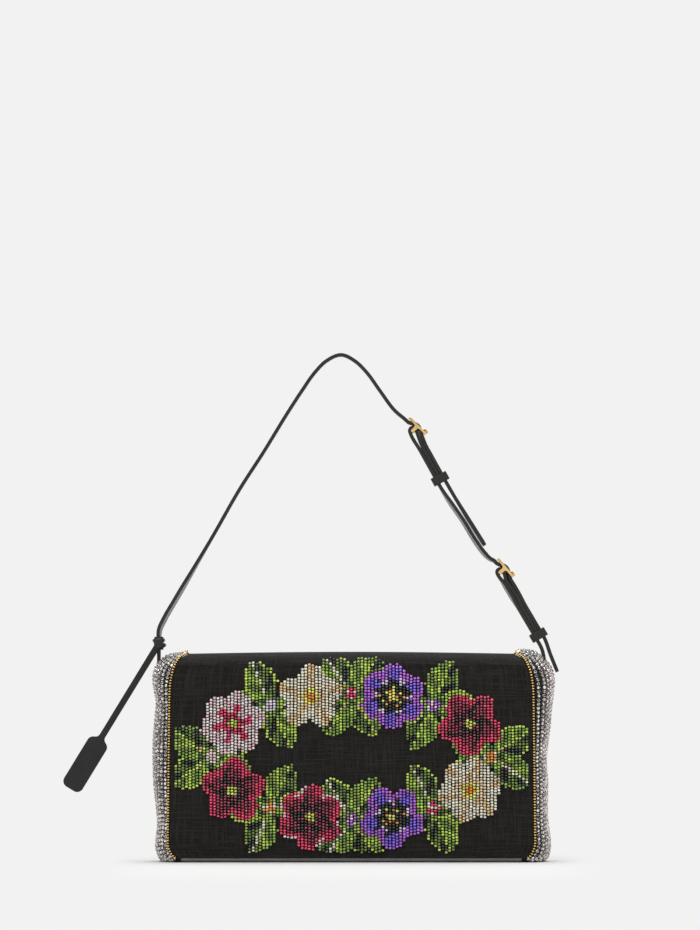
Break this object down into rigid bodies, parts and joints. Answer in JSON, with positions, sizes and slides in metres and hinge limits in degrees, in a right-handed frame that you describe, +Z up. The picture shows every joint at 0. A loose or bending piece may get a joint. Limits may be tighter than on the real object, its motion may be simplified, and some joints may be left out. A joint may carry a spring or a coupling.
{
  "type": "shoulder bag",
  "caption": "Slim flap shoulder bag with a beaded linen flap, crystal side gussets, an adjustable buckled leather strap and a hang tag.",
  "frame": {"origin": "middle of the bag's base, on the surface it stands on", "axes": "+Z up, -Y out of the beaded flap front, +X to the viewer's right of the front"},
  "size_m": [0.3434, 0.0542, 0.3522],
  "materials": {
    "linen": "heavy slub linen, matt black",
    "flap_lining": "fine woven lining, matt black",
    "lining": "fine woven lining, dark brown",
    "board": "linen on stiff board, matt black",
    "crystal": "rows of clear cut crystals on black cloth",
    "beads": "glass seed beads in many colours",
    "gold_beads": "small polished gold beads",
    "leather": "smooth black leather with painted edges",
    "tag_leather": "grained black leather",
    "brass": "polished yellow brass"
  },
  "bodies": {
    "bag": {"back_panel": "board", "front_panel": "board", "base_panel": "board", "gusset_left": "crystal", "gusset_right": "crystal", "lining": "lining", "inner_pocket": "lining", "snap_socket": "brass", "anchor_rivet_left": "brass", "anchor_rivet_right": "brass"},
    "flap_top": {"flap_top": "linen", "flap_top_lining": "flap_lining", "gold_edge_top": "gold_beads"},
    "flap_front": {"flap_front": "linen", "flap_lining": "flap_lining", "gold_edge_left": "gold_beads", "gold_edge_right": "gold_beads", "beadwork": "beads", "snap_stud": "brass"},
    "strap": {"strap_long": "leather", "strap_middle": "leather", "strap_chape": "leather", "buckle_frame_upper": "brass", "buckle_frame_lower": "brass", "tag_loop": "leather"},
    "prong_upper": {"buckle_prong_upper": "brass"},
    "prong_lower": {"buckle_prong_lower": "brass"},
    "keeper_upper": {"keeper_upper": "leather"},
    "keeper_lower": {"keeper_lower": "leather"},
    "tag": {"hang_tag": "tag_leather"}
  },
  "joints": [
    {"name": "flap_lift", "type": "hinge", "parent": "bag", "child": "flap_top", "pos_m": [0, 0.0238, 0.1438], "axis": [-1, 0, 0], "range_deg": [0, 35]},
    {"name": "flap_fold", "type": "hinge", "parent": "flap_top", "child": "flap_front", "pos_m": [0, -0.0265, 0.1438], "axis": [-1, 0, 0], "range_deg": [0, 120]},
    {"name": "strap_swing", "type": "hinge", "parent": "bag", "child": "strap", "pos_m": [0, 0, 0.133], "axis": [-1, 0, 0], "range_deg": [-18, 28]},
    {"name": "prong_upper_lift", "type": "hinge", "parent": "strap", "child": "prong_upper", "pos_m": [0.0427, 0, 0.29832], "axis": [0, -1, 0], "range_deg": [0, 10]},
    {"name": "prong_lower_lift", "type": "hinge", "parent": "strap", "child": "prong_lower", "pos_m": [0.10328, 0, 0.20024], "axis": [0, -1, 0], "range_deg": [0, 10]},
    {"name": "keeper_upper_slide", "type": "slide", "parent": "strap", "child": "keeper_upper", "axis": [0.4848, 0, -0.8746], "range_m": [-0.014, 0.002]},
    {"name": "keeper_lower_slide", "type": "slide", "parent": "strap", "child": "keeper_lower", "axis": [0.5075, 0, -0.8616], "range_m": [-0.018, 0]},
    {"name": "tag_swing", "type": "hinge", "parent": "strap", "child": "tag", "pos_m": [-0.1335, 0, 0.15045], "axis": [0, 1, 0], "range_deg": [-4, 45]}
  ]
}
